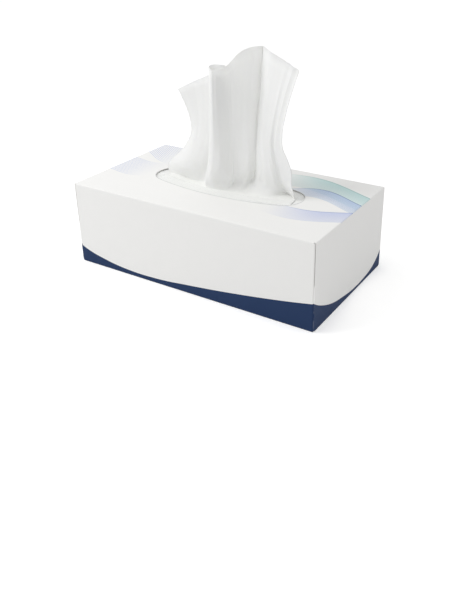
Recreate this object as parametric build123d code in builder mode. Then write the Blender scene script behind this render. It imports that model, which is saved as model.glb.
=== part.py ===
# A facial-tissue box: a glued carton of one folded board, with an oval opening in its top,
# a clear film with a slit under the opening, the pack of interfolded sheets inside,
# and the first sheet drawn up through the slit, standing in soft folds.
#
# Millimetres. The origin is the middle of the base, X runs along the box, Y across it and Z up.

import os
from math import hypot

from build123d import *

# The carton and its board
carton_length = 220
carton_width = 120
carton_height = 70
board = 0.45
fold_radius = 0.9
glue_lap = 14
cut_edge_gap = 0.3

# The end flaps: a dust flap from each side panel, then the inner flap, then the outer flap
dust_flap_length = 46
dust_flap_taper = 9
inner_flap_height = 44
inner_flap_corner = 8
outer_flap_corner = 1.5
flap_side_gap = 0.6

# The oval opening left by the tear-out panel
opening_length = 136
opening_width = 48
opening_end_radius = 17

# The clear film under the opening, its glued margins, and the slit, parted by the sheet in it
film_end_margin = 18
film_side_margin = 15
film_corner = 4
film = 0.2
slit_length = 134
slit_parting = 27

# The room that the pack of folded sheets has in the carton, and the shape of its folded sides
pack_end_room = 8.65
pack_side_room = 7.55
pack_head_room = 6.4
pack_side_bulge = 1.6
pack_edge_radius = 2.5

# The sheet that stands in the slit
popup_height = 109.3
tissue = 0.6
seat_gap = 0.2

# One overrun serves every cut
overrun = 1

# Heights of the sheet's lower levels above the film, as shares of popup_height
slit_share = 0
foot_share = 0.065
low_share = 0.225
waist_share = 0.44

# The sheet's creases from left to right, each where it crosses the slit, the foot, the low,
# the waist (x, y) and the cut edge at the top (x, y, height).
# x is a share of half the slit's length, y of half its parting and height of popup_height.
crease_shares = {
    "left corner": ((-0.87, 0.07), (-0.93, 0.22), (-0.68, 0.22), (-0.48, 0.30), (-0.72, 0.30, 0.65)),
    "left wing": ((-0.67, -0.37), (-0.69, -0.44), (-0.51, -0.30), (-0.41, 0.00), (-0.51, 0.07, 0.71)),
    "left crease": ((-0.45, -0.52), (-0.39, -0.59), (-0.32, -0.37), (-0.30, 0.00), (-0.30, 0.22, 0.78)),
    "pleat back": ((-0.30, -0.30), (-0.26, 0.00), (-0.21, 0.15), (-0.12, 0.44), (-0.03, 0.67, 0.83)),
    "pleat front": ((-0.24, -0.59), (-0.22, -0.67), (-0.18, -0.52), (-0.15, -0.44), (-0.15, -0.44, 0.89)),
    "column left": ((-0.18, -0.85), (-0.18, -1.15), (-0.13, -1.04), (-0.11, -0.96), (-0.10, -0.96, 0.89)),
    "column right": ((-0.04, -0.85), (0.02, -1.15), (0.05, -1.07), (0.03, -0.96), (0.03, -0.96, 0.88)),
    "flank": ((0.08, -0.85), (0.09, -0.30), (0.06, -0.37), (0.00, -0.30), (0.03, -0.15, 0.89)),
    "trough": ((0.15, -0.87), (0.11, 0.52), (0.12, 0.15), (0.08, 0.37), (0.06, 0.74, 0.95)),
    "bulge": ((0.22, -0.87), (0.23, 0.07), (0.30, -0.30), (0.24, 0.15), (0.16, 1.33, 0.98)),
    "valley": ((0.29, -0.83), (0.30, 0.74), (0.38, 0.52), (0.36, 0.96), (0.31, 1.93, 1.00)),
    "right fold": ((0.47, -0.68), (0.45, -0.59), (0.51, -0.59), (0.49, 0.00), (0.48, 1.19, 0.97)),
    "right crease": ((0.72, -0.38), (0.76, 0.30), (0.69, 0.37), (0.60, 0.44), (0.72, 0.59, 0.93)),
    "right corner": ((0.91, -0.05), (0.92, -0.15), (0.84, 0.00), (0.74, 0.00), (0.96, 0.00, 0.89)),
}
steps_across = 4
steps_up = 3

# Worked out from the sizes above
path_radius = fold_radius - board / 2
panel_y = (carton_width - board) / 2
top_z = carton_height - board / 2
bottom_z = board / 2
sleeve_end = carton_length / 2 - 2 * board - fold_radius
flap_half_width = carton_width / 2 - flap_side_gap
film_length = opening_length + 2 * film_end_margin
film_width = opening_width + 2 * film_side_margin
film_top = carton_height - board
pack_length = carton_length - 2 * (3 * board + pack_end_room)
pack_width = carton_width - 2 * (board + pack_side_room)
pack_top = film_top - film - pack_head_room
pack_height = pack_top - board


# The sleeve is the board's strip, bent round four panels, with its glue lap inside the back panel
with BuildPart() as sleeve:
    with BuildSketch(Plane.YZ):
        base_middle = (0, bottom_z)
        with BuildLine():
            FilletPolyline(
                (panel_y, cut_edge_gap),
                (panel_y, top_z),
                (-panel_y, top_z),
                (-panel_y, bottom_z),
                base_middle,
                radius=path_radius,
            )
        trace(line_width=board)
        with BuildLine():
            lap_y = panel_y - board
            FilletPolyline(base_middle, (lap_y, bottom_z), (lap_y, glue_lap), radius=path_radius)
        trace(line_width=board)
    extrude(amount=sleeve_end, both=True)

# The outer flap hangs from the top panel and covers the whole end
with BuildPart() as outer_flap:
    with BuildSketch(Plane.XZ):
        with BuildLine():
            outer_x = carton_length / 2 - board / 2
            FilletPolyline(
                (sleeve_end - fold_radius, top_z),
                (outer_x, top_z),
                (outer_x, cut_edge_gap),
                radius=path_radius,
            )
        trace(line_width=board)
    extrude(amount=flap_half_width, both=True)
    free_corners = outer_flap.edges().filter_by(Axis.X).group_by(Axis.Z)[0]
    fillet(free_corners, radius=outer_flap_corner)

# The inner flap stands up from the bottom panel, behind the outer flap
with BuildPart() as inner_flap:
    with BuildSketch(Plane.XZ):
        with BuildLine():
            inner_x = outer_x - board
            FilletPolyline(
                (sleeve_end - fold_radius, bottom_z),
                (inner_x, bottom_z),
                (inner_x, inner_flap_height),
                radius=path_radius,
            )
        trace(line_width=board)
    extrude(amount=flap_half_width, both=True)
    free_corners = inner_flap.edges().filter_by(Axis.X).group_by(Axis.Z)[-1]
    chamfer(free_corners, length=inner_flap_corner)

# A dust flap turns in from the front panel, behind the inner flap, and its mirror from the back panel
with BuildPart() as dust_flaps:
    with BuildSketch(Plane.XY.offset(board + cut_edge_gap)):
        with BuildLine():
            dust_x = inner_x - board
            FilletPolyline(
                (sleeve_end - fold_radius, -panel_y),
                (dust_x, -panel_y),
                (dust_x, dust_flap_length - carton_width / 2),
                radius=path_radius,
            )
        trace(line_width=board)
    extrude(amount=carton_height - 2 * (board + cut_edge_gap))
    free_corners = dust_flaps.edges().filter_by(Axis.X).group_by(Axis.Y)[-1]
    chamfer(free_corners, length=dust_flap_taper)
    mirror(about=Plane.XZ)

# One closed end: the flaps glued on each other
with BuildPart() as closed_end:
    add(outer_flap.part)
    add(inner_flap.part)
    add(dust_flaps.part)

# The carton is one board: the sleeve with both ends closed, and its oval opening
with BuildPart() as carton:
    add(sleeve.part)
    add(closed_end.part)
    mirror(closed_end.part, about=Plane.YZ)
    with BuildSketch(Plane.XY.offset(carton_height + overrun)):
        half_width = opening_width / 2
        end_x = opening_length / 2 - opening_end_radius
        swell = opening_width - 2 * opening_end_radius
        side_radius = (half_width**2 - opening_end_radius**2 + end_x**2) / swell
        reach_share = side_radius / hypot(end_x, side_radius - half_width)
        tangent_x = end_x * reach_share
        tangent_y = (side_radius - half_width) * (reach_share - 1)
        with BuildLine():
            ThreePointArc((-tangent_x, tangent_y), (0, half_width), (tangent_x, tangent_y))
            ThreePointArc((tangent_x, tangent_y), (opening_length / 2, 0), (tangent_x, -tangent_y))
            ThreePointArc((tangent_x, -tangent_y), (0, -half_width), (-tangent_x, -tangent_y))
            ThreePointArc((-tangent_x, -tangent_y), (-opening_length / 2, 0), (-tangent_x, tangent_y))
        make_face()
    extrude(amount=-(board + 2 * overrun), mode=Mode.SUBTRACT)
carton.part.label = "carton"

# The film lies against the underside of the top panel, and its slit is parted like a lens
with BuildPart() as window_film:
    with BuildSketch(Plane.XY.offset(film_top - film)):
        RectangleRounded(film_length, film_width, radius=film_corner)
        with BuildLine():
            ThreePointArc((-slit_length / 2, 0), (0, slit_parting / 2), (slit_length / 2, 0))
            ThreePointArc((slit_length / 2, 0), (0, -slit_parting / 2), (-slit_length / 2, 0))
        make_face(mode=Mode.SUBTRACT)
    extrude(amount=film)
window_film.part.label = "window_film"

# The pack rests on the bottom panel, and its folded sides bulge a little
with BuildPart() as tissue_pack:
    with BuildSketch(Plane.YZ):
        side_y = pack_width / 2 - pack_side_bulge
        with BuildLine():
            Line((-side_y, board), (side_y, board))
            ThreePointArc((side_y, board), (pack_width / 2, board + pack_height / 2), (side_y, pack_top))
            Line((side_y, pack_top), (-side_y, pack_top))
            ThreePointArc((-side_y, pack_top), (-pack_width / 2, board + pack_height / 2), (-side_y, board))
        make_face()
    extrude(amount=pack_length / 2, both=True)
    fillet(tissue_pack.edges().filter_by(Axis.X), radius=pack_edge_radius)
tissue_pack.part.label = "tissue_pack"


def spline_points(corners, steps):
    """Points of the quadratic spline that ends at its first and last corner and rounds the others"""
    middles = [(a + b) / 2 for a, b in zip(corners[1:-2], corners[2:-1])]
    knots = [corners[0], *middles, corners[-1]]
    points = [corners[0]]
    for start, corner, end in zip(knots, corners[1:-1], knots[1:]):
        for step in range(1, steps + 1):
            t = step / steps
            points.append(start * (1 - t) ** 2 + corner * (2 * t * (1 - t)) + end * t**2)
    return points


def sheet_side(grid, rise):
    """The grid's points moved out along the sheet's normal, so that its facets keep that distance"""
    top_row, last = len(grid) - 1, len(grid[0]) - 1
    side = []
    for i, row in enumerate(grid):
        side.append([])
        for j, point in enumerate(row):
            upward = grid[min(i + 1, top_row)][j] - grid[max(i - 1, 0)][j]
            from_left = (row[max(j, 1)] - row[max(j, 1) - 1]).normalized()
            to_right = (row[min(j, last - 1) + 1] - row[min(j, last - 1)]).normalized()
            onward = from_left + to_right
            side[-1].append(point + upward.cross(onward).normalized() * (2 * rise / onward.length))
    return side


def facets(rows):
    """Two flat facets for each cell between the rows, split along the cell's shorter diagonal"""
    for lower, upper in zip(rows, rows[1:]):
        for a, b, c, d in zip(lower, lower[1:], upper[1:], upper):
            if (c - a).length < (d - b).length:
                corners = ((a, b, c), (a, c, d))
            else:
                corners = ((a, b, d), (b, c, d))
            for triangle in corners:
                yield Face(Wire.make_polygon(triangle))


# The standing sheet is flat facets along its rounded creases, from the pack up to the cut edge
hem_share = (pack_top + seat_gap - film_top) / popup_height
level_shares = (hem_share, slit_share, foot_share, low_share, waist_share)
crease_lines = []
for slit, foot, low, waist, edge in crease_shares.values():
    places = [(*place, height) for place, height in zip((slit, slit, foot, low, waist), level_shares)]
    crease_lines.append(
        [
            Vector(x * slit_length / 2, y * slit_parting / 2, film_top + height * popup_height)
            for x, y, height in (*places, edge)
        ]
    )
levels = [spline_points(level, steps_across) for level in zip(*crease_lines)]
columns = [spline_points(column, steps_up) for column in zip(*levels)]
grid = list(zip(*columns))
with BuildPart() as popup_tissue:
    front = sheet_side(grid, tissue / 2)
    back = sheet_side(grid, -tissue / 2)
    faces = [*facets(front), *facets(back)]
    for front_rows, back_rows in ((front, back), (list(zip(*front)), list(zip(*back)))):
        faces += [*facets([front_rows[0], back_rows[0]]), *facets([front_rows[-1], back_rows[-1]])]
    add(Solid(Shell(faces)))
popup_tissue.part.label = "popup_tissue"

os.makedirs("parts", exist_ok=True)
export_step(carton.part, "parts/carton.step")
export_step(window_film.part, "parts/window_film.step")
export_step(tissue_pack.part, "parts/tissue_pack.step")
export_step(popup_tissue.part, "parts/popup_tissue.step")
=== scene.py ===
# %% [markdown]
# A tissue box with one sheet standing in its slit.
#
# The real object is a carton folded from one printed board. An oval has been torn out of its top,
# a clear film with a slit is glued under the hole, and the first sheet of the pack stands in the slit.
# The carton is already modelled at its real size. It is loaded as a fixed frame, and this lesson gives
# it its print, and makes the soft things round it: the sheet, the film, the pack and the torn edge.
# Every length is in metres.

import math

import bpy
import numpy as np
from mathutils import Matrix, Vector, noise


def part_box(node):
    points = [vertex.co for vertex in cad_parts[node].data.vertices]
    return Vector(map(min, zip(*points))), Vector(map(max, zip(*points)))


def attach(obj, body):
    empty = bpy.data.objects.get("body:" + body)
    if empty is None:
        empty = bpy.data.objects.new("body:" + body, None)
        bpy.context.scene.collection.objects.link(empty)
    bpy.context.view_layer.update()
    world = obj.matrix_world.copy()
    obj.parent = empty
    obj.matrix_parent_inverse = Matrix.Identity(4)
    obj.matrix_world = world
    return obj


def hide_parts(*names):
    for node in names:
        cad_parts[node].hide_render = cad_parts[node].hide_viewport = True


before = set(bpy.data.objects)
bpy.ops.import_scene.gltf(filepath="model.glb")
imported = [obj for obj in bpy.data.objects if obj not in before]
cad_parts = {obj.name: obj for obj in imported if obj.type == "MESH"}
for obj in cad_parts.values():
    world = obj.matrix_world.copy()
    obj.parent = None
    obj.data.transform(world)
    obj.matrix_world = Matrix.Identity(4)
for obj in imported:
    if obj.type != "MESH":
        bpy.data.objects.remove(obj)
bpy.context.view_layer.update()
mm = 0.001

# %% [markdown]
# The pieces that are made here meet the carton, so their places come from its nodes. The half sizes
# and heights are read once, and everything later is measured from them.

# %% Sizes read from the frame
carton_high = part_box("carton")[1]
film_low, film_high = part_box("window_film")
pack_low, pack_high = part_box("tissue_pack")
half_length, half_width, carton_height = carton_high
film_under, film_top = film_low.z, film_high.z
pack_top = pack_high.z


def in_mm(lengths):
    """Lengths in millimetres, rounded for printing."""
    return tuple(round(float(length) / mm, 1) for length in lengths)


print("carton", in_mm((2 * half_length, 2 * half_width, carton_height)), "mm, pack top", in_mm([pack_top]))

# %% [markdown]
# The camera stands where the photographer stood: in front of the box, to its right and above it,
# looking down by 25 degrees with a normal lens. Its axes are worked out from three angles, which is
# easier to read and to correct than a rotation matrix.

# %% The camera
camera_place = Vector((0.2925, -0.4341, 0.2704))
look_turn, look_pitch, camera_roll = (math.radians(angle) for angle in (32.22, -25.168, -0.661))
lens_length, sensor_width, nearest_seen = 40.963, 36, 0.01
picture_shift = (-0.0302, -0.1144)

level_part = math.cos(look_pitch)
look = Vector((-math.sin(look_turn) * level_part, math.cos(look_turn) * level_part, math.sin(look_pitch)))
level_right = look.cross(Vector((0, 0, 1))).normalized()
level_up = level_right.cross(look)
right = level_right * math.cos(camera_roll) + level_up * math.sin(camera_roll)
up = right.cross(look)
camera = bpy.data.objects.new("camera", bpy.data.cameras.new("camera"))
camera.matrix_world = Matrix.Translation(camera_place) @ Matrix((right, up, -look)).transposed().to_4x4()
camera.data.lens = lens_length
camera.data.sensor_width = sensor_width
camera.data.shift_x, camera.data.shift_y = picture_shift
camera.data.clip_start = nearest_seen
bpy.context.scene.collection.objects.link(camera)
bpy.context.scene.camera = camera
bpy.context.scene.view_settings.view_transform = "Standard"
print("camera at", tuple(round(c, 3) for c in camera.location), "lens", round(camera.data.lens, 1))

# %% [markdown]
# Small helpers come next. A material is a graph of nodes, and one helper adds a node of any kind and
# wires it. Every socket knows the graph that it belongs to, so the helper finds the right graph from
# the sockets that it is given. The others name the sums that finishes and shapes are made of.

# %% Helpers for sums in a graph
def put(value, socket):
    """Joins a node's socket to another, or sets the socket to a number or colour."""
    if isinstance(value, bpy.types.NodeSocket):
        socket.id_data.links.new(value, socket)
    else:
        socket.default_value = value


def add_node(kind, inputs=None, beside=None, **settings):
    """The outputs of a new node, from its settings and its inputs by name or place.

    The node joins the graph of its inputs, or where they are all plain values, that of beside.
    """
    inputs = inputs or {}
    sockets = [value for value in (beside, *inputs.values()) if isinstance(value, bpy.types.NodeSocket)]
    node = sockets[0].id_data.nodes.new(kind)
    for name, value in settings.items():
        setattr(node, name, value)
    for name, value in inputs.items():
        put(value, node.inputs[name])
    return node.outputs


def calc(operation, *values, clamp=False):
    """A sum of one to three numbers."""
    inputs = dict(enumerate(values))
    return add_node("ShaderNodeMath", inputs, operation=operation, use_clamp=clamp)[0]


def plus(first, second):
    return calc("ADD", first, second)


def minus(first, second):
    return calc("SUBTRACT", first, second)


def times(first, second):
    return calc("MULTIPLY", first, second)


def ramp(value, start, end, low=0.0, high=1.0):
    """A smooth step from low to high as the value goes from start to end."""
    inputs = {"Value": value, "From Min": start, "From Max": end, "To Min": low, "To Max": high}
    return add_node("ShaderNodeMapRange", inputs, interpolation_type="SMOOTHSTEP")[0]


def choose(mask, inside, outside):
    """One number where the mask is 1, and the other where it is 0."""
    return plus(times(inside, mask), times(outside, minus(1.0, mask)))


def split(vector):
    """The three numbers of a vector."""
    return add_node("ShaderNodeSeparateXYZ", {0: vector})


def combine(**parts):
    """A vector from its X, Y and Z, which are 0 where they aren't given."""
    return add_node("ShaderNodeCombineXYZ", parts)[0]


def scaled(vector, factor):
    """A colour or a place times a number."""
    return add_node("ShaderNodeVectorMath", {0: vector, "Scale": factor}, operation="SCALE")[0]


print("helpers for sums ready")

# %% [markdown]
# The next helpers mix colours, make noise and relief, and place a group of nodes that several
# materials share. A material starts as a Principled shader, whose plain values are set at once, and
# the place in the object, from which its patterns are worked out.

# %% Helpers for finishes
def blend_colour(share, first, second):
    """A mix of two colours, with this share of the second."""
    return add_node("ShaderNodeMix", {0: share, 6: first, 7: second}, data_type="RGBA")[2]


def noise_at(vector, scale, detail=2.0):
    """Soft noise from 0 to 1, with scale in cells a metre."""
    return add_node("ShaderNodeTexNoise", {"Vector": vector, "Scale": scale, "Detail": detail})[0]


def bumped(height, strength, depth):
    """The normal of a surface with a fine relief."""
    return add_node("ShaderNodeBump", {"Strength": strength, "Distance": depth, "Height": height})[0]


def new_group(name, inputs, outputs):
    """A shader node group, what it is given and its results. Place is a vector, the rest numbers."""
    group = bpy.data.node_groups.new(name, "ShaderNodeTree")
    for side, labels in (("INPUT", inputs), ("OUTPUT", outputs)):
        for label in labels:
            kind = "NodeSocketVector" if label == "Place" else "NodeSocketFloat"
            group.interface.new_socket(label, in_out=side, socket_type=kind)
    return group, group.nodes.new("NodeGroupInput").outputs, group.nodes.new("NodeGroupOutput").inputs


def use_group(group, **values):
    """Places a group beside its values, whose names have underscores where the sockets have spaces."""
    inputs = {name.replace("_", " "): value for name, value in values.items()}
    return add_node("ShaderNodeGroup", inputs, node_tree=group)


def new_material(name, **values):
    """A material with these values, its Principled shader's inputs and the place in the object."""
    material = bpy.data.materials.new(name)
    material.use_nodes = True
    nodes = material.node_tree.nodes
    shader = nodes["Principled BSDF"].inputs
    for label, value in values.items():
        shader[label.replace("_", " ")].default_value = value
    return material, shader, nodes.new("ShaderNodeTexCoord").outputs["Object"]


def srgb(red, green, blue):
    """A colour given as it looks on a screen, from 0 to 255, as the linear colour that shaders take."""
    steps = [c / 255 for c in (red, green, blue)]
    return (*[c / 12.92 if c < 0.04045 else ((c + 0.055) / 1.055) ** 2.4 for c in steps], 1.0)


print("helpers for finishes ready")

# %% [markdown]
# Board and tissue are both paper: up close there are fibres, which scatter the gloss and vary the
# tone a little. One node group makes that for both, with its own scale and strength in each. It
# gives a tone to multiply into the colour, and a height for a Bump node.

# %% Paper fibres, a shared group
def make_fibre_group():
    fleck_share, cloud_share, cloud_scale = 0.7, 0.3, 0.07
    group, given, result = new_group("paper fibres", ("Place", "Scale", "Tone"), ("Shade", "Height"))
    cells = scaled(given["Place"], given["Scale"])
    flecks = times(noise_at(cells, 1.0, detail=4.0), fleck_share)
    clouds = times(noise_at(cells, cloud_scale), cloud_share)
    height = plus(flecks, clouds)
    uneven = times(minus(height, 0.5), given["Tone"])
    put(plus(1.0, uneven), result["Shade"])
    put(height, result["Height"])
    return group


fibre_group = make_fibre_group()
print("group", fibre_group.name, [item.name for item in fibre_group.interface.items_tree])

# %% [markdown]
# The studio is a pale floor under an even, soft light, as on a product table: a white sky lights all
# sides, and one large lamp at the front left makes the front a little brighter than the end. What
# the camera and the reflections see of the sky and floor is white, while the light on the box
# stays at a plain level, so that a colour looks as it is written. The sky does that by the kind of
# ray: it has a strength of 1 for the camera, also through the clear film, and for reflections.

# %% The sky and the lamp
sky_light = 0.735
lamp_power = 2.05
lamp_place, lamp_target, lamp_size = Vector((-0.40, -0.30, 0.65)), Vector((0, 0, 0.08)), 0.4

world = bpy.data.worlds.new("studio")
world.use_nodes = True
sky = world.node_tree.nodes["Background"].inputs
sky["Color"].default_value = (1, 1, 1, 1)
path = world.node_tree.nodes.new("ShaderNodeLightPath").outputs
seen = calc("MAXIMUM", path["Is Camera Ray"], path["Is Glossy Ray"])
put(plus(times(seen, 1 - sky_light), sky_light), sky["Strength"])
bpy.context.scene.world = world
lamp = bpy.data.objects.new("soft_lamp", bpy.data.lights.new("soft_lamp", "AREA"))
lamp.data.energy = lamp_power
lamp.data.size = lamp_size
lamp.location = lamp_place
lamp.rotation_euler = (lamp_target - lamp_place).to_track_quat("-Z", "Y").to_euler()
bpy.context.scene.collection.objects.link(lamp)
print("sky", sky_light, "lamp", lamp_power, "W")

# %% [markdown]
# The floor is one large square just under the box, so that nothing touches it. It is pale and matte,
# and glows a little for the camera alone, which lifts it to white and still leaves the box's shadow.

# %% The floor
floor_half, floor_gap = 3.0, 0.3 * mm
floor_tone, floor_roughness, floor_glow = (0.88, 0.88, 0.88, 1), 0.9, 0.37


def new_mesh(name, points, faces, smooth=True):
    """A mesh object at the origin, with its place in its points."""
    mesh = bpy.data.meshes.new(name)
    mesh.from_pydata([tuple(p) for p in points], [], faces)
    mesh.validate()
    if smooth:
        mesh.shade_smooth()
    piece = bpy.data.objects.new(name, mesh)
    bpy.context.scene.collection.objects.link(piece)
    return piece


def describe(piece):
    """Prints how many faces a piece has, and its lowest and highest corner."""
    box = in_mm(piece.bound_box[0]), in_mm(piece.bound_box[6])
    print(piece.name, "faces", len(piece.data.polygons), "box in mm", box)


corners = [(x * floor_half, y * floor_half, -floor_gap) for x, y in ((-1, -1), (1, -1), (1, 1), (-1, 1))]
floor = new_mesh("floor", corners, [(0, 1, 2, 3)], smooth=False)
material, shader, place = new_material(
    "pale floor", Base_Color=floor_tone, Roughness=floor_roughness, Emission_Color=(1, 1, 1, 1)
)
path = add_node("ShaderNodeLightPath", beside=place)
put(times(path["Is Camera Ray"], floor_glow), shader["Emission Strength"])
floor.data.materials.append(material)
print("floor", 2 * floor_half, "m wide")

# %% [markdown]
# The opening was torn out along a row of cuts. Its outline is two flat arcs and two round ends that
# meet without a corner. The arcs' radii and centres are worked out here, and so is a ring of points
# on the outline. The print, the torn edge and the film all use them.

# %% The outline of the opening
opening_half_length, opening_half_width, end_radius = 68 * mm, 24 * mm, 17 * mm
around_count = 180

end_centre = opening_half_length - end_radius
side_reach = opening_half_width**2 - end_radius**2 + end_centre**2
side_radius = side_reach / (2 * (opening_half_width - end_radius))
side_centre = opening_half_width - side_radius
tangent_x = end_centre * side_radius / (side_radius - end_radius)
turn = np.arange(around_count) * math.tau / around_count
opening_x = opening_half_length * np.cos(turn)
flat_arc = side_centre + np.sqrt(side_radius**2 - opening_x**2)
round_end = np.sqrt(np.maximum(end_radius**2 - (np.abs(opening_x) - end_centre) ** 2, 0))
opening_y = np.where(np.abs(opening_x) < tangent_x, flat_arc, round_end) * np.sign(np.sin(turn))
print("opening", in_mm((2 * opening_half_length, 2 * opening_half_width)), "mm")

# %% [markdown]
# The carton keeps its own mesh, and only its finish is made here. Its print is worked out from the
# place on the box and from which way the surface faces, so it wraps round the folds without a seam.
# First come three masks: the printed outer side of the board, the top panel and the two ends.

# %% Masks for the board's sides
# A printed face looks away from the middle of the box, and lies at least this far from it.
outer_reach = 20 * mm
# A face that points up more than the first is the top, and less than the second the underside.
top_facing, under_facing = 0.5, -0.7
board_gloss = 0.12

board_material, shader, place = new_material("printed board", Specular_IOR_Level=board_gloss)
x, y, z = split(place)
facing = add_node("ShaderNodeNewGeometry", beside=place)["Normal"]
face_x, face_y, face_z = split(facing)
outward = plus(times(x, face_x), times(y, face_y))
outward = plus(outward, times(minus(z, carton_height / 2), face_z))
printed = calc("GREATER_THAN", outward, outer_reach)
on_top = calc("GREATER_THAN", face_z, top_facing)
on_end = calc("GREATER_THAN", calc("ABSOLUTE", face_x), calc("ABSOLUTE", face_y))
print("masks for", board_material.name)

# %% [markdown]
# The dark band round the foot of the box has one flowing upper edge. A Float Curve holds that edge
# for a long side and for an end, as shares of the panel. The far sides are the same box turned half
# round, so the sign of the place turns the curve round with it.

# %% The dark band
long_edge_shares = (
    (0, 0.225), (0.04, 0.168), (0.10, 0.120), (0.22, 0.066), (0.36, 0.062),
    (0.51, 0.105), (0.66, 0.160), (0.87, 0.257), (1, 0.332),
)
end_edge_shares = (
    (0, 0.336), (0.10, 0.234), (0.25, 0.131), (0.41, 0.074),
    (0.57, 0.041), (0.74, 0.047), (0.87, 0.086), (1, 0.225),
)


def edge_curve(along, shares):
    """The height of the band's edge, as a share of the carton's, at a share along a panel."""
    height = add_node("ShaderNodeFloatCurve", {"Value": along})[0]
    mapping = height.node.mapping
    points = mapping.curves[0].points
    for share in shares[1:-1]:
        points.new(*share)
    for point, share in zip(points, shares):
        point.location = share
    mapping.update()
    return height


front_sign = times(calc("SIGN", y), -1.0)
right_sign = calc("SIGN", x)
along_side = calc("MULTIPLY_ADD", times(x, front_sign), 0.5 / half_length, 0.5)
along_end = calc("MULTIPLY_ADD", times(y, right_sign), 0.5 / half_width, 0.5)
edge_height = choose(
    on_end, edge_curve(along_end, end_edge_shares), edge_curve(along_side, long_edge_shares)
)
band = calc("LESS_THAN", calc("DIVIDE", z, carton_height), edge_height)
band = times(band, calc("GREATER_THAN", face_z, under_facing))
print("band edge from", min(share for _, share in long_edge_shares), "of the height")

# %% [markdown]
# The top carries soft ribbons of pale blue, aqua and lilac at its right end, and fans of fine lines at
# its left. One group draws a ribbon: a sine wave for its middle line, a width, and a fade along it. The
# same group gives fine lines that follow the wave, so each ornament is one call with other numbers.

# %% A ribbon and its fine lines, a group
def make_ribbon_group():
    shading, middle_shade = 0.3, 0.7
    rim_place, rim_width = 0.97, 0.06
    line_edge, line_core = 0.18, 0.08
    bounds = ("Half Width", "Fade Start", "Fade End")
    group, given, result = new_group(
        "wave ribbon",
        ("Along", "Across", "Middle", "Slope", "Swing", "Length", "Start", *bounds, "Spacing"),
        ("Ribbon", "Edge", "Lines"),
    )
    turns = calc("DIVIDE", minus(given["Along"], given["Start"]), given["Length"])
    wave = times(calc("SINE", times(turns, math.tau)), given["Swing"])
    middle = plus(given["Middle"], calc("MULTIPLY_ADD", given["Along"], given["Slope"], wave))
    spread = calc("DIVIDE", minus(given["Across"], middle), given["Half Width"])
    inside = calc("LESS_THAN", calc("ABSOLUTE", spread), 1.0)
    fade = ramp(given["Along"], given["Fade Start"], given["Fade End"])
    drawn = times(inside, fade)
    shade = calc("MULTIPLY_ADD", spread, shading, middle_shade)
    put(times(drawn, shade), result["Ribbon"])
    from_rim = calc("ABSOLUTE", minus(spread, rim_place))
    put(times(ramp(from_rim, rim_width, 0.0), fade), result["Edge"])
    stripe = calc("FRACT", calc("DIVIDE", spread, given["Spacing"]))
    line = ramp(calc("ABSOLUTE", minus(stripe, 0.5)), line_edge, line_core)
    put(times(line, drawn), result["Lines"])
    return group


ribbon_group = make_ribbon_group()
print("group", ribbon_group.name)

# %% [markdown]
# Three ribbons run off the right end, each lighter on one side and with a darker rim. Two fans run the
# other way, so they are drawn along the box turned round, and only their fine lines are used.

# %% The print on the top
board_white = (0.885, 0.882, 0.868, 1)
aqua, aqua_line = srgb(196, 222, 222), srgb(150, 192, 190)
pale_blue, deep_blue = srgb(190, 207, 232), srgb(70, 104, 156)
lilac, lilac_line, fan_line = srgb(206, 212, 236), srgb(120, 144, 196), srgb(170, 184, 224)
ribbon_spacing, ribbon_line_strength = 0.14, 0.35
fan_spacing, fan_line_strength = 0.11, 0.85
wave_sizes = ("Middle", "Swing", "Length", "Start", "Half_Width", "Fade_Start", "Fade_End")


def draw_wave(along, slope, spacing, sizes):
    """One ribbon of the top, with its sizes in millimetres."""
    lengths = {name: size * mm for name, size in zip(wave_sizes, sizes)}
    return use_group(ribbon_group, Along=along, Across=y, Slope=slope, Spacing=spacing, **lengths)


ribbons = (
    # colour, colour of the lines, slope, wave sizes
    (aqua, aqua_line, -0.10, (34, 9, 150, 20, 13, 20, 70)),
    (pale_blue, deep_blue, 0.16, (-4, 13, 118, 38, 9, 34, 78)),
    (lilac, lilac_line, 0.12, (-26, -7, 120, 46, 10, 44, 96)),
)
fans = (
    # slope, wave sizes
    (0.14, (34, 8, 90, 10, 20, 62, 100)),
    (-0.22, (20, 5, 70, 30, 18, 66, 104)),
)
top_print_and_rim_shadow = board_white
for colour, line_colour, slope, sizes in ribbons:
    drawn = draw_wave(x, slope, ribbon_spacing, sizes)
    lines = times(drawn["Lines"], ribbon_line_strength)
    top_print_and_rim_shadow = blend_colour(drawn["Ribbon"], top_print_and_rim_shadow, colour)
    top_print_and_rim_shadow = blend_colour(lines, top_print_and_rim_shadow, line_colour)
    top_print_and_rim_shadow = blend_colour(drawn["Edge"], top_print_and_rim_shadow, line_colour)
leftward = times(x, -1.0)
for slope, sizes in fans:
    drawn = draw_wave(leftward, slope, fan_spacing, sizes)
    lines = times(drawn["Lines"], fan_line_strength)
    top_print_and_rim_shadow = blend_colour(lines, top_print_and_rim_shadow, fan_line)
print("ribbons", len(ribbons), "fans", len(fans))

# %% [markdown]
# The folds of a carton are where its ink cracks and pales, and where their rounded edge catches the
# light. Both are painted as one paler line: partly real worn ink, partly a painted highlight. Near a
# fold two of the three distances to the box's faces are small, so the middle one of the three tells
# how near the fold is. Noise breaks the pale line up.

# %% Worn ink and a painted highlight along the folds
fold_reach, pale_fold_strength = 1.1 * mm, 0.18
pale_patch_scale, pale_patch_from, pale_patch_to = 160.0, 0.42, 0.62

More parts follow.
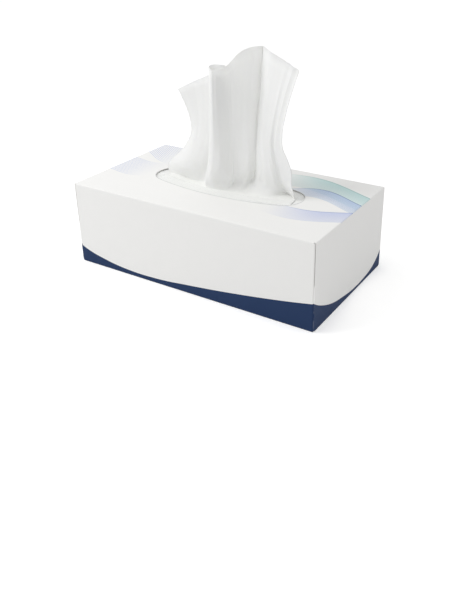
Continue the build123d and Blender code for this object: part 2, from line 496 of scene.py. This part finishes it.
across_x, across_y = calc("ABSOLUTE", x), calc("ABSOLUTE", y)
to_end = minus(half_length, across_x)
to_side = minus(half_width, across_y)
to_lid = calc("MINIMUM", z, minus(carton_height, z))
least = calc("MINIMUM", to_end, to_side)
most = calc("MAXIMUM", to_end, to_side)
to_fold = calc("MAXIMUM", least, calc("MINIMUM", most, to_lid))
patches = ramp(noise_at(place, pale_patch_scale, 3.0), pale_patch_from, pale_patch_to)
# A paler line at each fold: partly worn ink, partly a painted highlight on the rounded edge.
worn_and_highlit = times(times(ramp(to_fold, fold_reach, 0.0), patches), pale_fold_strength)
print("wear within", in_mm([fold_reach]), "mm of a fold")

# %% [markdown]
# A thin grey line along the opening's rim is a painted shadow: the shade that the board's cut edge
# casts on what lies just under it. The line is the strip where the distance past the outline is small:
# past the arc along the flat sides, and past the round ends beyond the places where the two meet. The
# painted shadow is stronger at the front than at the back.

# %% The painted shadow line round the opening
rim_shadow_reach = 0.9 * mm
rim_shadow_at_back, rim_shadow_at_front, rim_shadow_change = 0.1, 0.85, 6 * mm


def past_circle(from_centre_x, from_centre_y, radius):
    """How far a place lies beyond a circle, from its two distances to the circle's centre."""
    squares = [times(reach, reach) for reach in (from_centre_x, from_centre_y)]
    return minus(calc("SQRT", plus(*squares)), radius)


past_side = past_circle(x, minus(across_y, side_centre), side_radius)
past_end = past_circle(minus(across_x, end_centre), y, end_radius)
past_edge = choose(calc("GREATER_THAN", across_x, tangent_x), past_end, past_side)
toward_front = ramp(y, rim_shadow_change, -rim_shadow_change, rim_shadow_at_back, rim_shadow_at_front)
# A painted shadow, where the cut edge shades what lies just under it.
painted_rim_shadow = times(ramp(past_edge, rim_shadow_reach, 0.0), toward_front)
print("bruised line", in_mm([rim_shadow_reach]), "mm wide")

# %% [markdown]
# Board is coated and lightly varnished outside, so it has a soft sheen, and raw and rougher inside.
# The colours are laid over one another: the top's print with its painted shadow line, the plain white
# of the other panels, the band, the worn ink and painted highlight of the folds, and raw board wherever
# the side isn't the printed one.

# %% The finish of the board
band_colour = srgb(38, 58, 94)
raw_board, rim_shadow_grey, worn_and_highlit_white = (0.80, 0.79, 0.76, 1), (0.42, 0.43, 0.44, 1), (0.93, 0.93, 0.92, 1)
varnish_roughness, fibre_roughness, raw_roughness = 0.40, 0.12, 0.35
board_relief, board_relief_depth = 0.10, 0.05 * mm

fibres = use_group(fibre_group, Place=place, Scale=1600.0, Tone=0.035)
# The painted shadow line of the rim is laid over the top's print.
top_print_and_rim_shadow = blend_colour(painted_rim_shadow, top_print_and_rim_shadow, rim_shadow_grey)
panels = blend_colour(on_top, board_white, top_print_and_rim_shadow)
inked_and_highlit = blend_colour(band, panels, band_colour)
# The folds' worn ink and painted highlight go over the print.
inked_and_highlit = blend_colour(worn_and_highlit, inked_and_highlit, worn_and_highlit_white)
outer = blend_colour(printed, raw_board, inked_and_highlit)
put(scaled(outer, fibres["Shade"]), shader["Base Color"])
roughness = calc("MULTIPLY_ADD", fibres["Height"], fibre_roughness, varnish_roughness)
rougher = times(minus(1.0, printed), raw_roughness)
put(plus(roughness, rougher), shader["Roughness"])
put(bumped(fibres["Height"], board_relief, board_relief_depth), shader["Normal"])

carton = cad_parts["carton"]
carton.data.materials.clear()
carton.data.materials.append(board_material)
print("carton faces", len(carton.data.polygons))

# %% [markdown]
# The standing sheet is a nearly square piece of two-ply tissue, drawn up through the slit until about
# half of it stands free. It gathers into a few deep folds at the slit and opens towards its cut edge.
# Cloth simulation would make other folds each time a setting changed. The folds here are the
# object's main shape, so they are drawn one by one: each crease is a line from the slit to the edge,
# and a smooth spline runs over all of them, across and upwards.

# %% The creases of the standing sheet
sheet_width, sheet_length = 200 * mm, 210 * mm
slit_half_length, slit_half_parting = 67 * mm, 13.5 * mm
sheet_rise = 109.3 * mm
# The heights of the slit, the foot, the knee, the low and the waist level, as shares of the rise.
level_shares = (0.0, 0.05, 0.11, 0.225, 0.44)
# Left to right. Each crease has its place (x, y) at these levels and its end (x, y, height) at the cut
# edge. x is a share of half the slit's length, y of half its parting and height of the rise.
crease_shares = (
    # left corner
    ((-0.87, 0.07), (-0.94, 0.19), (-0.85, 0.11), (-0.62, 0.07), (-0.44, 0.00), (-0.64, -0.19, 0.671)),
    # left wing
    ((-0.66, 0.04), (-0.69, -0.33), (-0.65, -0.63), (-0.49, -0.41), (-0.40, 0.00), (-0.51, -0.07, 0.717)),
    # left crease
    ((-0.45, -0.30), (-0.42, -0.41), (-0.39, -0.59), (-0.32, -0.37), (-0.28, 0.00), (-0.30, 0.22, 0.775)),
    # pleat back
    ((-0.30, -0.22), (-0.26, -0.07), (-0.24, 0.00), (-0.19, -0.07), (-0.10, 0.15), (0.09, 0.00, 0.878)),
    # pleat front
    ((-0.24, -0.59), (-0.23, -0.74), (-0.21, -0.63), (-0.18, -0.52), (-0.14, -0.37), (-0.14, -0.30, 0.885)),
    # column left
    ((-0.19, -0.81), (-0.19, -0.96), (-0.16, -0.96), (-0.13, -0.96), (-0.10, -0.89), (-0.10, -0.89, 0.868)),
    # column right
    ((-0.07, -0.93), (-0.07, -1.00), (-0.01, -1.15), (0.02, -1.19), (0.00, -1.19), (0.01, -1.22, 0.866)),
    # flank
    ((0.06, -0.67), (0.09, -0.52), (0.12, -0.48), (0.11, -0.37), (0.07, -0.15), (0.07, -0.30, 0.875)),
    # middle
    ((0.10, -0.52), (0.10, 0.15), (0.13, 0.00), (0.14, -0.04), (0.15, 0.11), (0.13, 0.33, 0.958)),
    # bulge
    ((0.22, -0.44), (0.23, 0.22), (0.29, -0.11), (0.33, -0.15), (0.28, 0.37), (0.18, 1.33, 0.985)),
    # valley
    ((0.28, -0.22), (0.26, 0.78), (0.32, 0.74), (0.35, 0.44), (0.31, 0.89), (0.26, 2.07, 0.98)),
    # valley rim
    ((0.36, -0.37), (0.34, 0.37), (0.37, 0.22), (0.39, 0.22), (0.35, 0.70), (0.32, 1.63, 0.985)),
    # right fold
    ((0.49, -0.44), (0.49, 0.00), (0.51, -0.07), (0.51, -0.15), (0.44, 0.22), (0.49, 1.00, 0.97)),
    # right ridge
    ((0.64, -0.22), (0.64, 0.11), (0.66, -0.11), (0.64, -0.15), (0.54, 0.11), (0.72, 0.59, 0.93)),
    # right crease
    ((0.72, 0.67), (0.69, 0.48), (0.68, 0.19), (0.67, 0.07), (0.58, 0.15), (0.81, 0.37, 0.914)),
    # right rim
    ((0.78, 0.67), (0.73, 0.44), (0.72, 0.19), (0.71, 0.09), (0.61, 0.10), (0.86, 0.26, 0.906)),
    # right corner
    ((0.90, 0.15), (0.91, -0.07), (0.87, -0.07), (0.88, 0.00), (0.67, 0.00), (0.94, 0.00, 0.895)),
)
half_slit = np.array((slit_half_length, slit_half_parting))
crease_places = np.array([crease[:-1] for crease in crease_shares])
crease_ends = np.array([crease[-1] for crease in crease_shares])
print("creases", len(crease_shares), "rise", in_mm([sheet_rise]), "mm")

# %% [markdown]
# Below the slit the sheet isn't cut off. It dives through the slit and runs forward under the film,
# turns back on itself and lies on the pack, spread to its whole width. These levels follow the same
# creases, so the sheet is one surface from its hidden hem to its cut edge.

# %% The hidden part of the sheet
tuck = {
    # level: (spread of the width, place across the box, height over the pack), hem first
    "hem": (0.98, 20 * mm, 0.5 * mm),
    "under": (0.96, -14 * mm, 0.5 * mm),
    "turn low": (0.92, -41 * mm, 0.6 * mm),
    "turn high": (0.86, -41 * mm, 5.4 * mm),
    "apron": (0.72, -24 * mm, 5.8 * mm),
}
# At the throat, under the film, the sheet is a little wider than the slit and well in front of it. Its
# depth goes from the first of throat_depths to the second, between the two throat_tips.
throat_shares, throat_forward = (1.06, 0.3), 17 * mm
throat_depths, throat_tips = (0.5 * mm, 0.15 * mm), (40 * mm, 55 * mm)
# The skirt is the last level before the slit, and lies close under the film.
skirt_shares, skirt_forward, skirt_depth = (1.02, 1.0), 1.2 * mm, 0.05 * mm


def net_row(places, heights):
    """One level of the net: a place and a height for each crease."""
    return np.column_stack([places, np.broadcast_to(heights, len(places))])


slit_line = crease_places[:, 0] * half_slit
run = np.concatenate([[0], np.cumsum(np.linalg.norm(np.diff(slit_line, axis=0), axis=1))])
flat_share = run / run[-1] * 2 - 1
rows = []
for spread, across, over_pack in tuck.values():
    spread_out = slit_line[:, 0] * (1 - spread) + flat_share * sheet_width / 2 * spread
    places = [(along, across) for along in spread_out]
    rows.append(net_row(places, pack_top + over_pack))
dive = np.interp(np.abs(slit_line[:, 0]), throat_tips, throat_depths)
rows.append(net_row(slit_line * throat_shares + (0, -throat_forward), film_under - dive))
rows.append(net_row(slit_line * skirt_shares + (0, -skirt_forward), film_under - skirt_depth))
for level, share in enumerate(level_shares):
    rows.append(net_row(crease_places[:, level] * half_slit, film_top + share * sheet_rise))
rows.append(net_row(crease_ends[:, :2] * half_slit, film_top + crease_ends[:, 2] * sheet_rise))
sheet_net = np.array(rows)
print("levels", len(rows), "slit line", in_mm([run[-1]]), "mm long")

# %% [markdown]
# The net has one point for each crease and level. A quadratic spline passes half way between each two
# of them and rounds off the rest, so a crease that has a close neighbour stays sharp and a lonely one
# becomes a soft wave. It runs across first, then upwards.

# %% The smooth surface over the creases
steps_across, steps_up = 14, 12


def spline_over(corners, steps):
    """Points of the quadratic spline that starts and ends at the outer corners and rounds the rest."""
    corners = np.asarray(corners)
    middles = (corners[1:-2] + corners[2:-1]) / 2
    knots = np.concatenate([corners[:1], middles, corners[-1:]])
    t = (np.arange(1, steps + 1) / steps).reshape(-1, *[1] * (corners.ndim - 1))
    arcs = [
        start * (1 - t) ** 2 + corner * 2 * t * (1 - t) + end * t**2
        for start, corner, end in zip(knots, corners[1:-1], knots[1:])
    ]
    return np.concatenate([corners[:1], *arcs])


def grid_faces(count_up, count_across, closed=False):
    """Quads between the rows of a grid of points. A closed row is a ring."""
    return [
        (
            i * count_across + j,
            i * count_across + (j + 1) % count_across,
            (i + 1) * count_across + (j + 1) % count_across,
            (i + 1) * count_across + j,
        )
        for i in range(count_up - 1)
        for j in range(count_across if closed else count_across - 1)
    ]


across_done = np.swapaxes(spline_over(np.swapaxes(sheet_net, 0, 1), steps_across), 0, 1)
sheet_grid = spline_over(across_done, steps_up)
print("grid", sheet_grid.shape[:2])

# %% [markdown]
# A smooth spline alone looks like sheet metal. Tissue is limp: it has long shallow creases that run
# up from the gathers, a slightly wavering edge, and a fine crumple. Each is a small push along the
# surface's normal, made of noise that is stretched along the sheet.

# %% Small creases and crumple
crease_depth, crumple_depth, waver_depth = 0.9 * mm, 0.28 * mm, 1.1 * mm
# Shares of the height: the creases come in over the first, and the edge's waver from the second on,
# over the third.
held_share, waver_from, waver_reach = 0.08, 0.3, 0.5
shortest_normal = 1e-12


def rising(values, start, reach):
    """From 0 at the start to 1 at one reach further on."""
    return np.clip((values - start) / reach, 0, 1)


def grid_normals(grid):
    """The unit normal at each point of a grid."""
    normal = np.cross(np.gradient(grid, axis=1), np.gradient(grid, axis=0))
    return normal / np.maximum(np.linalg.norm(normal, axis=2, keepdims=True), shortest_normal)


def noise_sheet(shape, across, upward, seed):
    """Noise over a grid, with so many cells across and upwards."""
    rows, columns = shape
    spots = [(across * j / columns, upward * i / rows, seed) for i in range(rows) for j in range(columns)]
    return np.array([noise.noise(Vector(spot)) for spot in spots]).reshape(shape)


grid_shape = sheet_grid.shape[:2]
height_share = np.clip((sheet_grid[:, :, 2] - film_top) / sheet_rise, 0, 1)
push = noise_sheet(grid_shape, across=26, upward=5, seed=3.1) * crease_depth
push += noise_sheet(grid_shape, across=70, upward=16, seed=7.7) * crumple_depth
near_edge = rising(height_share, waver_from, waver_reach)
push += noise_sheet(grid_shape, across=16, upward=2, seed=1.9) * near_edge * waver_depth
push *= rising(height_share, 0, held_share)
sheet_points = sheet_grid + grid_normals(sheet_grid) * push[:, :, None]
print("largest push", in_mm([np.abs(push).max()]), "mm")

# %% [markdown]
# The grid becomes a mesh, and a Solidify modifier gives it the thickness of two plies. Its UV map is
# in metres, across the sheet and along it, so that a pattern can follow the paper round every fold.

# %% Build the sheet
tissue_thickness = 0.24 * mm


def add_grid_map(piece, shape, width, length):
    """Gives a grid mesh a UV map in metres, so that a pattern follows the sheet."""
    layer = piece.data.uv_layers.new(name="sheet")
    for loop in piece.data.loops:
        i, j = divmod(loop.vertex_index, shape[1])
        layer.data[loop.index].uv = (j / (shape[1] - 1) * width, i / (shape[0] - 1) * length)


def applied(piece):
    """Turns a piece's modifiers into its plain mesh."""
    graph_now = bpy.context.evaluated_depsgraph_get()
    mesh = bpy.data.meshes.new_from_object(piece.evaluated_get(graph_now))
    piece.modifiers.clear()
    piece.data = mesh
    mesh.name = piece.name
    return piece


def thickened(piece, thickness):
    """Gives a thin piece its wall, half to each side."""
    wall = piece.modifiers.new("wall", "SOLIDIFY")
    wall.thickness = thickness
    wall.offset = 0
    return applied(piece)


def tissue_sheet(name, grid):
    """A sheet of two-ply tissue over a grid of points."""
    piece = new_mesh(name, grid.reshape(-1, 3), grid_faces(*grid.shape[:2]))
    add_grid_map(piece, grid.shape[:2], sheet_width, sheet_length)
    return thickened(piece, tissue_thickness)


sheet = tissue_sheet("standing_sheet", sheet_points)
describe(sheet)

# %% [markdown]
# Tissue is white, matte and a little see-through, so light that enters one side of a fold comes out
# softened: that is subsurface scattering over a short distance. Where a sheet is covered, the light
# would be lost in the dark below and the paper would turn grey. So the scattering fades in along the
# UV map where the sheet leaves the slit, and a covered sheet has none. Creping during manufacture
# leaves tiny ridges across the sheet, which the UV map carries too.

# %% The finish of the tissue
tissue_white = (0.876, 0.881, 0.862)
scatter_from, scatter_to, scatter_weight = 120 * mm, 146 * mm, 0.6
crepe_stretch, crepe_relief, crepe_depth = 0.35, 0.35, 0.06 * mm
tissue_finish = {
    "Roughness": 0.85, "Specular_IOR_Level": 0.2, "Sheen_Weight": 0.15,
    "Subsurface_Radius": (1.0, 1.0, 0.9), "Subsurface_Scale": 2.0 * mm,
}


def make_tissue_material(name, lit_from_behind):
    """White tissue, which lets light through where it stands free, or nowhere if it is covered."""
    material, shader, place = new_material(name, **tissue_finish)
    u, v, _ = split(add_node("ShaderNodeUVMap", beside=place, uv_map="sheet")[0])
    crepe = combine(X=times(u, crepe_stretch), Y=v)
    ridges = use_group(fibre_group, Place=crepe, Scale=1500.0, Tone=0.03)
    soft = use_group(fibre_group, Place=place, Scale=700.0, Tone=0.02)
    shade = times(ridges["Shade"], soft["Shade"])
    put(scaled(tissue_white, shade), shader["Base Color"])
    if lit_from_behind:
        put(ramp(v, scatter_from, scatter_to, 0.0, scatter_weight), shader["Subsurface Weight"])
    height = plus(ridges["Height"], soft["Height"])
    put(bumped(height, crepe_relief, crepe_depth), shader["Normal"])
    return material


sheet.data.materials.append(make_tissue_material("white tissue", lit_from_behind=True))
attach(sheet, "root")
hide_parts("popup_tissue")
print("tissue", tissue_white)

# %% [markdown]
# The pack is folded sheets in a pile. Every leaf is the same shape with small differences, which is
# work for Geometry Nodes: a line of points, a leaf on each, then random shifts. Each leaf is a thin
# slab whose long sides are rounded like folds, and the pile bulges a little at half its height.

# %% Geometry Nodes helpers
def new_geometry_tree(name, inputs):
    """A Geometry Nodes tree with its named inputs and their usual values, ready for its nodes."""
    tree = bpy.data.node_groups.new(name, "GeometryNodeTree")
    tree.interface.new_socket("Geometry", in_out="INPUT", socket_type="NodeSocketGeometry")
    for label, value in inputs.items():
        kind = "NodeSocketInt" if isinstance(value, int) else "NodeSocketFloat"
        tree.interface.new_socket(label, in_out="INPUT", socket_type=kind).default_value = value
    tree.interface.new_socket("Geometry", in_out="OUTPUT", socket_type="NodeSocketGeometry")
    return tree, tree.nodes.new("NodeGroupInput").outputs, tree.nodes.new("NodeGroupOutput").inputs


def geo(kind, inputs=None, **settings):
    """The result of a geometry node."""
    return add_node("GeometryNode" + kind, inputs, **settings)[0]


def random_vector(low, high, seed):
    """A vector that differs from one instance to the next."""
    return add_node("FunctionNodeRandomValue", {0: low, 1: high, "Seed": seed}, data_type="FLOAT_VECTOR")[0]


def run_tree(piece, tree, material, **values):
    """Runs a tree on a piece, whose mesh may be empty, and turns its result into the plain mesh."""
    piece.data.materials.append(material)
    modifier = piece.modifiers.new(piece.name, "NODES")
    modifier.node_group = tree
    sockets = {item.name: item.identifier for item in tree.interface.items_tree if item.in_out == "INPUT"}
    for label, value in values.items():
        modifier[sockets[label.replace("_", " ")]] = value
    return applied(piece)


print("geometry helpers ready")

# %% [markdown]
# The tree makes one leaf first: a line along the box, and the leaf's rounded section swept along it.
# Then come a column of points, one leaf on each, wider towards the middle of the height, and a random
# shift for each. The sizes given here are only the usual ones, and the pack sets its own.

# %% The tree of the folded leaves
def make_leaf_tree(material):
    spine_points, leaf_share, round_share, round_steps = 24, 0.97, 0.45, 3
    sizes = {"Length": 0.2, "Width": 0.1, "Height": 0.06, "Bulge": 0.001, "Uneven": 0.0005}
    inputs = {"Leaves": 50, **sizes, "Seed": 1}
    tree, given, result = new_geometry_tree("folded leaves", inputs)
    pitch = calc("DIVIDE", given["Height"], given["Leaves"])
    half = times(given["Length"], 0.5)
    ends = {"Start": combine(X=times(half, -1.0)), "End": combine(X=half)}
    spine = geo("CurvePrimitiveLine", ends)
    spine = geo("ResampleCurve", {"Curve": spine, "Count": spine_points})
    thickness = times(pitch, leaf_share)
    section = geo("CurvePrimitiveQuadrilateral", {"Width": given["Width"], "Height": thickness})
    rounding = {"Curve": section, "Radius": times(pitch, round_share), "Count": round_steps}
    rounded = geo("FilletCurve", rounding, mode="POLY")
    leaf = geo("CurveToMesh", {"Curve": spine, "Profile Curve": rounded, "Fill Caps": True})
    first = combine(Z=times(pitch, 0.5))
    line = {"Count": given["Leaves"], "Start Location": first, "Offset": combine(Z=pitch)}
    points = geo("MeshLine", line, mode="OFFSET")
    height = split(geo("InputPosition", beside=pitch))[2]
    level = calc("DIVIDE", height, given["Height"])
    arch = times(times(level, minus(1.0, level)), 4.0)
    half_leaf = times(given["Width"], 0.5)
    wider = calc("DIVIDE", times(arch, given["Bulge"]), half_leaf)
    size = combine(X=1.0, Y=plus(1.0, wider), Z=1.0)
    pile = geo("InstanceOnPoints", {"Points": points, "Instance": leaf, "Scale": size})
    reach = combine(X=given["Uneven"], Y=given["Uneven"])
    shift = random_vector(scaled(reach, -1.0), reach, given["Seed"])
    pile = geo("TranslateInstances", {"Instances": pile, "Translation": shift})
    pile = geo("RealizeInstances", {"Geometry": pile})
    pile = geo("SetShadeSmooth", {"Geometry": pile, "Shade Smooth": False})
    put(geo("SetMaterial", {"Geometry": pile, "Material": material}), result["Geometry"])
    return tree


print("leaf tree ready")

# %% [markdown]
# The leaves have no UV map, so their finish reads the place in the object. It is the same white as
# the sheet's, with the fibre group at a coarser scale. The torn edge of the board, further on, is
# paper of another colour and scale, so both come from one function.

# %% Build the pack
leaf_count = 50
pack_bulge, pack_uneven = 1.4 * mm, 0.45 * mm


def make_paper_material(name, colour, gloss, scale, tone, relief=0.0, depth=0.0):
    """Bare matte paper, whose fibres follow the place in the object."""
    material, shader, place = new_material(name, Roughness=0.9, Specular_IOR_Level=gloss)
    fibres = use_group(fibre_group, Place=place, Scale=scale, Tone=tone)
    put(scaled(colour, fibres["Shade"]), shader["Base Color"])
    if relief:
        put(bumped(fibres["Height"], relief, depth), shader["Normal"])
    return material


pack_material = make_paper_material(
    "folded tissue", tissue_white, gloss=0.2, scale=900.0, tone=0.05, relief=0.3, depth=0.08 * mm
)
pack = run_tree(
    new_mesh("folded_sheets", [], []), make_leaf_tree(pack_material), pack_material, Leaves=leaf_count,
    Length=2 * pack_high.x - 2 * pack_uneven, Width=2 * pack_high.y - 2 * pack_bulge - 2 * pack_uneven,
    Height=pack_top - pack_low.z, Bulge=pack_bulge, Uneven=pack_uneven, Seed=4,
)
pack.data.transform(Matrix.Translation((0, 0, pack_low.z)))
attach(pack, "root")
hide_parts("tissue_pack")
describe(pack)

# %% [markdown]
# Between the pack and the film lies the next sheet, folded in half. Its leading half was drawn up when
# the standing sheet was pulled, so it lies just under the film, in the fold of the one that stands.
# Its other half lies on the pack. A path across the box, repeated along it, is all that this needs.
# Past the tips of the slit no standing sheet holds it down, so its upper half has slack there and
# rises towards the film, and a little noise makes it sag.

# %% The next sheet
next_half_length = 98 * mm
next_steps, next_columns = 7, 90
next_path = (
    # place across the box, height over the pack: leading edge, under the slit, the fold, trailing edge
    (-34 * mm, 4.0 * mm),
    (-20 * mm, 4.3 * mm),
    (-8 * mm, 4.6 * mm),
    (2 * mm, 4.8 * mm),
    (12 * mm, 5.3 * mm),
    (20 * mm, 6.2 * mm),
    (28 * mm, 6.2 * mm),
    (41 * mm, 2.6 * mm),
    (50.5 * mm, 0.9 * mm),
    (50.5 * mm, 0.2 * mm),
    (40 * mm, 0.2 * mm),
    (-51 * mm, 0.2 * mm),
)
upper_from, upper_reach = 0.8 * mm, 3 * mm
slack_height, sag = 5.9 * mm, 0.35 * mm
# Along the box the slack comes in over the first pair (start, reach) and goes out over the second.
slack_in, slack_out = (54 * mm, 8 * mm), (74 * mm, 14 * mm)
# Across the box it comes in over this pair, and ends at the turn.
slack_front, slack_back = (-24 * mm, 12 * mm), 30 * mm

across_box, over_pack = spline_over(next_path, next_steps).T[:, :, None]
columns = np.linspace(-next_half_length, next_half_length, next_columns)
upper_half = rising(over_pack, upper_from, upper_reach)
past_slit = rising(np.abs(columns), *slack_in) * (1 - rising(np.abs(columns), *slack_out))
slack = np.maximum(slack_height - over_pack, 0) * upper_half * rising(across_box, *slack_front)
slack = slack * (across_box < slack_back) * past_slit
sagging = np.abs(noise_sheet(slack.shape, across=15, upward=7, seed=5.3)) * upper_half * sag
next_heights = pack_top + over_pack + slack - sagging
next_grid = np.stack(np.broadcast_arrays(columns, across_box, next_heights), axis=2)
next_sheet = tissue_sheet("next_sheet", next_grid)
next_sheet.data.materials.append(make_tissue_material("covered tissue", lit_from_behind=False))
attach(next_sheet, "root")
path_steps = np.linalg.norm(np.diff(next_path, axis=0), axis=1)
print("next sheet", in_mm([path_steps.sum()]), "mm along its path")

# %% [markdown]
# Both sheets are 200 by 210 mm: one is gathered in the slit and one is folded, and both rest on the
# pack.

print("sheets declared", in_mm((sheet_width, sheet_length)), "mm")

# %% [markdown]
# Where the board was torn, each bridge between two cuts leaves a short blunt nib of fibres. They
# follow the outline at an even pitch, so Geometry Nodes set them out: the outline becomes a curve,
# each point of it gets a nib that points inwards, and no two nibs are quite the same length.

# %% The torn nibs
nib_pitch, nib_length, nib_radius = 3 * mm, 0.6 * mm, 0.2 * mm
torn_white = (0.84, 0.83, 0.80)


def make_nib_tree(material):
    nib_sides, tip_share = 6, 0.6
    smallest, largest = (0.85, 0.85, 0.5), (1.0, 1.0, 1.2)
    inputs = {"Pitch": 0.003, "Length": 0.0006, "Radius": 0.0002, "Seed": 1}
    tree, given, result = new_geometry_tree("torn nibs", inputs)
    ring = geo("MeshToCurve", {"Mesh": given["Geometry"]})
    spots = geo("ResampleCurve", {"Curve": ring, "Length": given["Pitch"]}, mode="LENGTH")
    along = geo("InputTangent", beside=ring)
    inward = add_node("ShaderNodeVectorMath", {0: (0, 0, 1), 1: along}, operation="CROSS_PRODUCT")[0]
    pointing = add_node("FunctionNodeAlignRotationToVector", {"Vector": inward}, axis="Z")[0]
    tip = times(given["Radius"], tip_share)
    radii = {"Radius Top": tip, "Radius Bottom": given["Radius"]}
    nib = geo("MeshCone", {"Vertices": nib_sides, "Depth": given["Length"], **radii})
    uneven = random_vector(smallest, largest, given["Seed"])
    placing = {"Points": spots, "Instance": nib, "Rotation": pointing, "Scale": uneven}
    nibs = geo("InstanceOnPoints", placing)
    nibs = geo("RealizeInstances", {"Geometry": nibs})
    put(geo("SetMaterial", {"Geometry": nibs, "Material": material}), result["Geometry"])
    return tree


board_middle = (film_top + carton_height) / 2
outline_points = [(*spot, board_middle) for spot in zip(opening_x, opening_y)]
outline = new_mesh("torn_nibs", outline_points, [range(around_count)])
torn_material = make_paper_material("torn board", torn_white, gloss=0.1, scale=2500.0, tone=0.12)
nibs = run_tree(
    outline, make_nib_tree(torn_material), torn_material,
    Pitch=nib_pitch, Length=nib_length, Radius=nib_radius, Seed=2,
)
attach(nibs, "root")
describe(nibs)

# %% [markdown]
# The film is thin and clear, glued flat to the underside of the board. Inside the opening it is free:
# the sheet pushes the lips of the slit up a little, and the tension leaves shallow ripples and one low
# ridge beside the right end. Rings of points run from the slit's lips to the film's border, over the
# line of the ridge and the outline of the opening.

# %% The rings of the film
film_thickness, film_sink = 0.05 * mm, 0.04 * mm
lip_lift, ripple, ridge_height = 0.7 * mm, 0.12 * mm, 0.45 * mm
tip_inset, ridge_inset = 0.994, 0.90
ridge_start, ridge_rise, ridge_turn = 18 * mm, 14 * mm, 0.25
ripple_cells, ripple_seed = (90, 140), 2.2


def slit_lips():
    """The lens that the parted slit makes."""
    return slit_half_length * np.cos(turn), slit_half_parting * np.sin(turn) ** 2 * np.sign(np.sin(turn))


def film_border():
    """The film's rectangle, met along the same turn."""
    reach = np.maximum(np.abs(np.cos(turn)), np.abs(np.sin(turn)))
    return film_high.x * np.cos(turn) / reach, film_high.y * np.sin(turn) / reach


ridge_line = (opening_x * tip_inset, opening_y * ridge_inset)
outlines = (slit_lips(), ridge_line, (opening_x, opening_y), film_border())
ring_shares = (
    # which outline, share of the way to the next one, and the shares of the lift, the ripple and the ridge
    (0, 0, 1, 1, 0),
    (0, 0.1, 0.7, 1, 0),
    (0, 0.25, 0.35, 1, 0),
    (0, 0.45, 0.12, 1, 0),
    (0, 0.65, 0, 1, 0),
    (0, 0.85, 0, 1, 0.15),
    (0, 0.95, 0, 1, 0.6),
    (1, 0, 0, 1, 1),
    (1, 0.2, 0, 0.8, 0.5),
    (1, 0.5, 0, 0.3, 0),
    (1, 0.8, 0, 0.1, 0),
    (2, 0, 0, 0, 0),
    (2, 0.3, 0, 0, 0),
    (2, 1, 0, 0, 0),
)
print("rings", len(ring_shares), "of", around_count, "points")

# %% [markdown]
# Each ring is some way from one outline to the next, and its height is the sum of the lips' lift, the
# low ridge at the right of the front, and the ripples. Solidify then gives the film its thickness.

# %% Build the film
front_side = (np.sin(turn) < 0) * rising(np.abs(np.sin(turn)), 0, ridge_turn)
right_front = rising(opening_x, ridge_start, ridge_rise) * front_side
film_points = []
# A painted highlight along the ridge, kept with each point.
film_glints = []
for inner, share, lift, rippled, ridge in ring_shares:
    ring_x, ring_y = (a + (b - a) * share for a, b in zip(outlines[inner], outlines[inner + 1]))
    spots = zip(ring_x * ripple_cells[0], ring_y * ripple_cells[1])
    wrinkle = np.abs([noise.noise(Vector((*spot, ripple_seed))) for spot in spots])
    height = film_top - film_sink + lip_lift * lift * np.sin(turn) ** 2
    height += ridge * ridge_height * right_front + wrinkle * ripple * rippled
    film_points += list(zip(ring_x, ring_y, height))
    film_glints += list(right_front * ridge)
film_faces = [face[::-1] for face in grid_faces(len(ring_shares), around_count, closed=True)]
film = new_mesh("clear_window", film_points, film_faces)
film.data.attributes.new("ridge_glint", "FLOAT", "POINT").data.foreach_set("value", film_glints)
thickened(film, film_thickness)
describe(film)

# %% [markdown]
# Clear film shows by its gloss alone. Most light goes through it, so its alpha is low, and rises with
# the Fresnel node where it is seen at a low angle, which is where real film mirrors the most. Along
# the ridge a painted highlight stands in for the glints of its wrinkles: more alpha lets the film's
# pale colour show there. How much was kept with each point in an attribute, which adds to the alpha.

# %% The finish of the film
def make_film_material():
    film_ior, mirror_share, glint_share = 1.45, 0.07, 0.22
    haze_scale, haze_relief, haze_depth = 500.0, 0.2, 0.05 * mm
    material, shader, place = new_material(
        "clear film", Base_Color=(0.88, 0.90, 0.91, 1), Roughness=0.08, Specular_IOR_Level=0.8
    )
    mirror = add_node("ShaderNodeFresnel", {"IOR": film_ior}, beside=place)[0]
    ridge_glint = add_node("ShaderNodeAttribute", beside=place, attribute_name="ridge_glint")["Fac"]
    # The ridge's painted highlight raises the alpha there.
    painted_glint = times(ridge_glint, glint_share)
    put(calc("MULTIPLY_ADD", mirror, mirror_share, painted_glint, clamp=True), shader["Alpha"])
    put(bumped(noise_at(place, haze_scale, 3.0), haze_relief, haze_depth), shader["Normal"])
    return material


film.data.materials.append(make_film_material())
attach(film, "root")
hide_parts("window_film")
print("film finish", film.data.materials[0].name)
